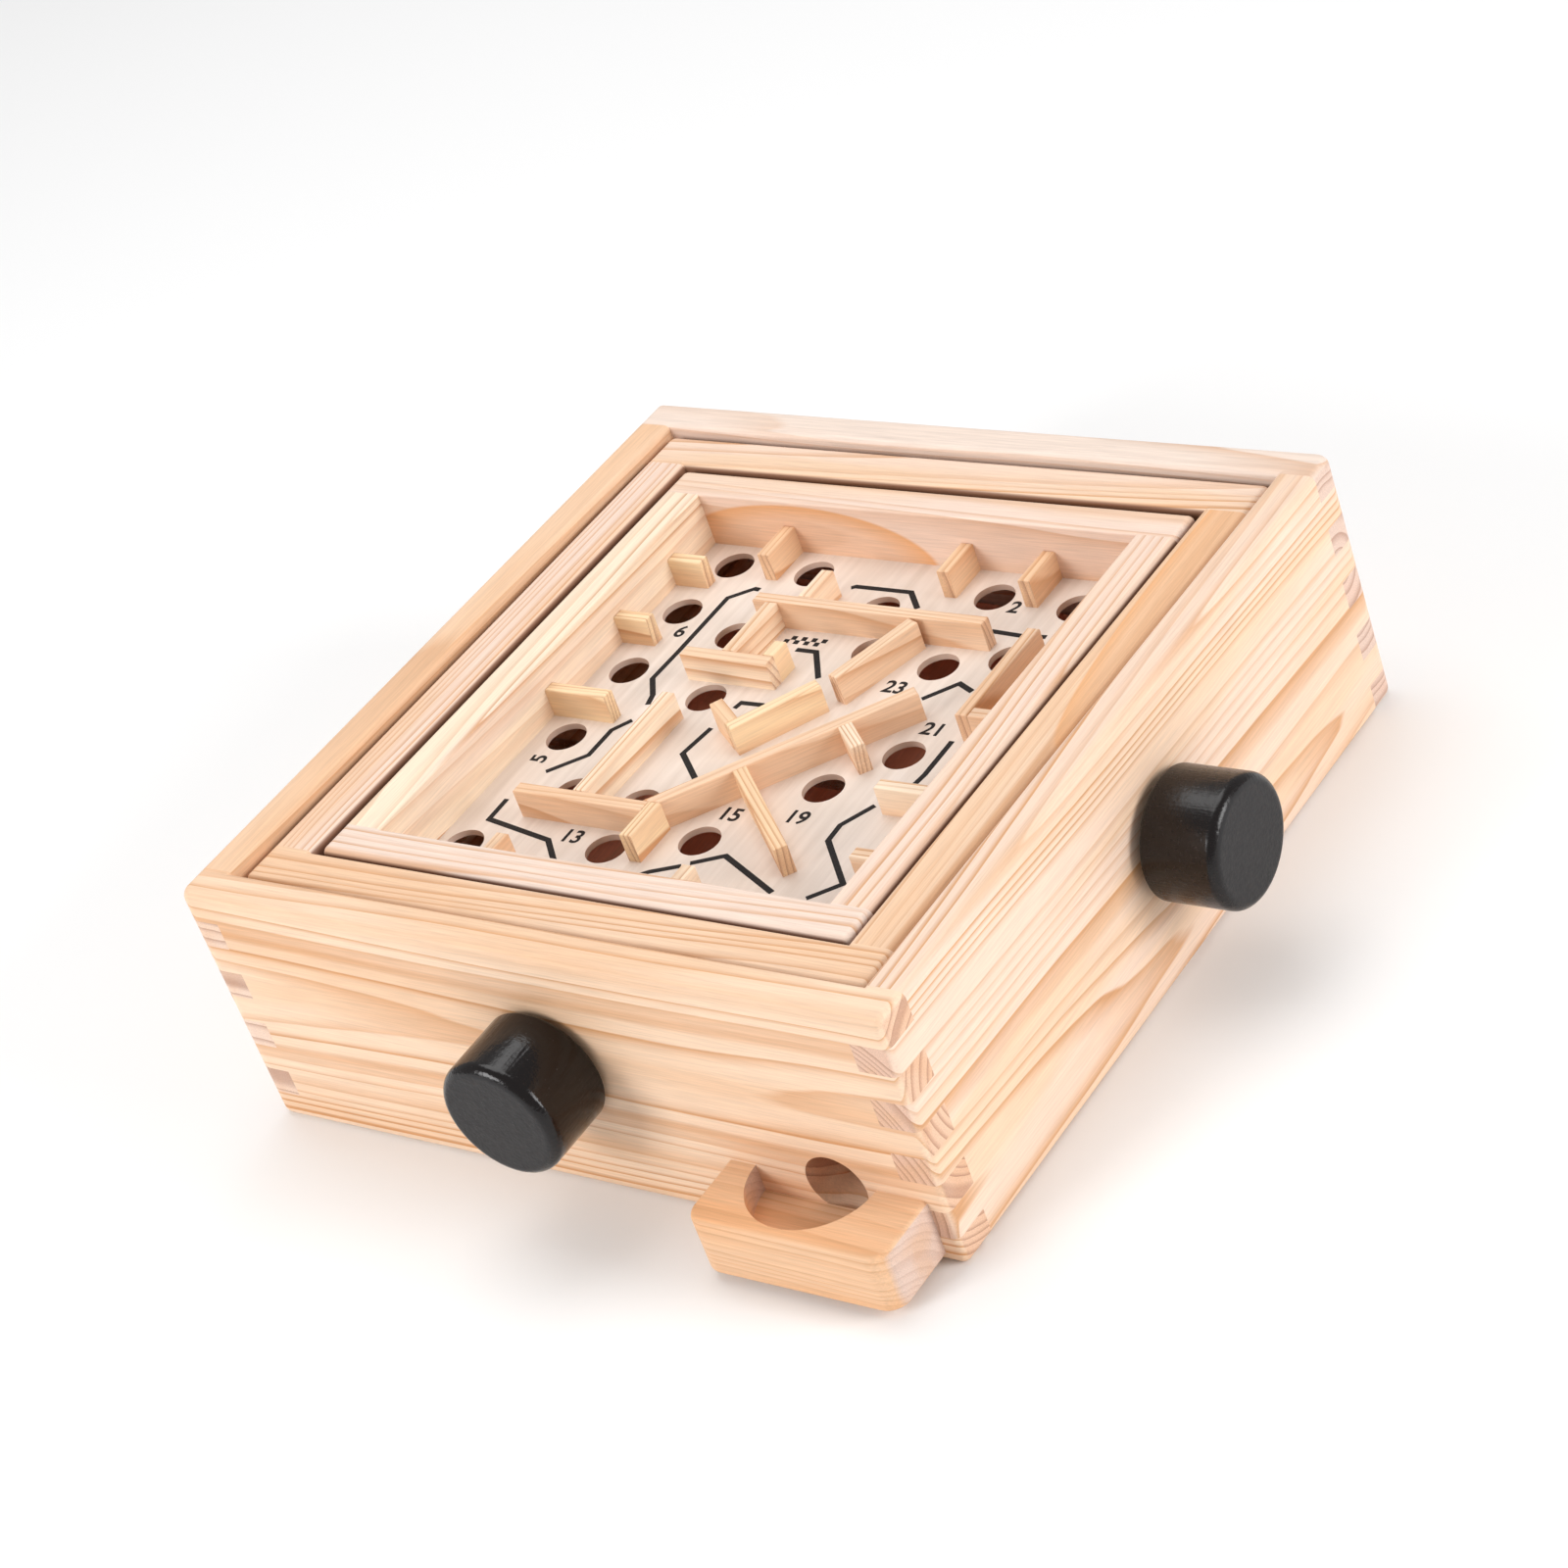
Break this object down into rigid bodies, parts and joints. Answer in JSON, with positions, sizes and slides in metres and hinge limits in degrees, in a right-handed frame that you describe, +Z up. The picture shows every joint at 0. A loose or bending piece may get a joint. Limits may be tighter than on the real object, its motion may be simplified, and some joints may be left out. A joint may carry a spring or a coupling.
{
  "type": "tilt maze game",
  "caption": "Wooden tilt maze: an open box, two nested tilting frames, a maze tray with fall holes, two control knobs, a ramp and a ball cup",
  "frame": {"origin": "the middle of the front board's underside, on the surface the box stands on", "axes": "+X to the player's right, along the front board; +Y away from the player; +Z up"},
  "size_m": [0.2219, 0.2261, 0.068],
  "materials": {
    "box_pine": "clear satin varnish",
    "frame_pine": "clear satin varnish",
    "maze_pine": "bare sawn wood",
    "floor_board": "smooth, printed",
    "ramp_plywood": "bare",
    "black_knob": "semi-gloss black",
    "steel": "bare drawn wire",
    "cord": "braided"
  },
  "bodies": {
    "box": {"box_front_board": "box_pine", "box_back_board": "box_pine", "box_left_board": "box_pine", "box_right_board": "box_pine", "ball_cup": "box_pine", "ramp_panel": "ramp_plywood", "ramp_batten_left": "maze_pine", "ramp_batten_right": "maze_pine", "ramp_nails": "steel", "string_guides": "steel", "ring_string": "cord", "tray_string": "cord"},
    "ring": {"ring_front_rail": "frame_pine", "ring_back_rail": "frame_pine", "ring_left_rail": "frame_pine", "ring_right_rail": "frame_pine", "ring_pivot_pins": "steel", "ring_string_hooks": "steel"},
    "tray": {"tray_front_wall": "frame_pine", "tray_back_wall": "frame_pine", "tray_left_wall": "frame_pine", "tray_right_wall": "frame_pine", "tray_floor": "floor_board", "tray_pivot_pins": "steel", "tray_string_hooks": "steel", "long_wall": "maze_pine", "start_wall_down": "maze_pine", "start_wall_across": "maze_pine", "start_wall_return": "maze_pine", "long_wall_branch": "maze_pine", "middle_wall": "maze_pine", "corner_wall": "maze_pine", "corner_wall_end": "maze_pine", "upper_slant_wall": "maze_pine", "lower_slant_wall": "maze_pine", "slant_wall_return": "maze_pine", "great_slant_wall": "maze_pine", "slant_branch_long": "maze_pine", "slant_branch_short": "maze_pine", "right_pocket_wall": "maze_pine", "right_pocket_end": "maze_pine", "left_stub_walls": "maze_pine", "back_stub_walls": "maze_pine", "right_stub_walls": "maze_pine", "front_stub_walls": "maze_pine"},
    "front_knob": {"front_knob": "black_knob", "front_axle": "steel", "front_axle_collar": "steel", "tray_string_winding": "cord"},
    "side_knob": {"side_knob": "black_knob", "side_axle": "steel", "side_axle_collar": "steel", "ring_string_winding": "cord"}
  },
  "joints": [
    {"name": "ring_tilt", "type": "hinge", "parent": "box", "child": "ring", "pos_m": [0, 0.0975, 0.058], "axis": [1, 0, 0], "range_deg": [-5, 5], "deforming": ["ring_string"]},
    {"name": "tray_tilt", "type": "hinge", "parent": "ring", "child": "tray", "pos_m": [0, 0.0975, 0.058], "axis": [0, 1, 0], "range_deg": [-5, 5], "deforming": ["tray_string"]},
    {"name": "front_knob_turn", "type": "hinge", "parent": "box", "child": "front_knob", "pos_m": [0.001, 0, 0.0375], "axis": [0, 1, 0], "range_deg": [-193, 193]},
    {"name": "side_knob_turn", "type": "hinge", "parent": "box", "child": "side_knob", "pos_m": [0, 0.1006, 0.0343], "axis": [1, 0, 0], "range_deg": [-221, 221]}
  ],
  "couplings": [
    {"joint": "tray_tilt", "follows": "front_knob_turn", "ratio": 0.02585},
    {"joint": "ring_tilt", "follows": "side_knob_turn", "ratio": 0.02262}
  ]
}
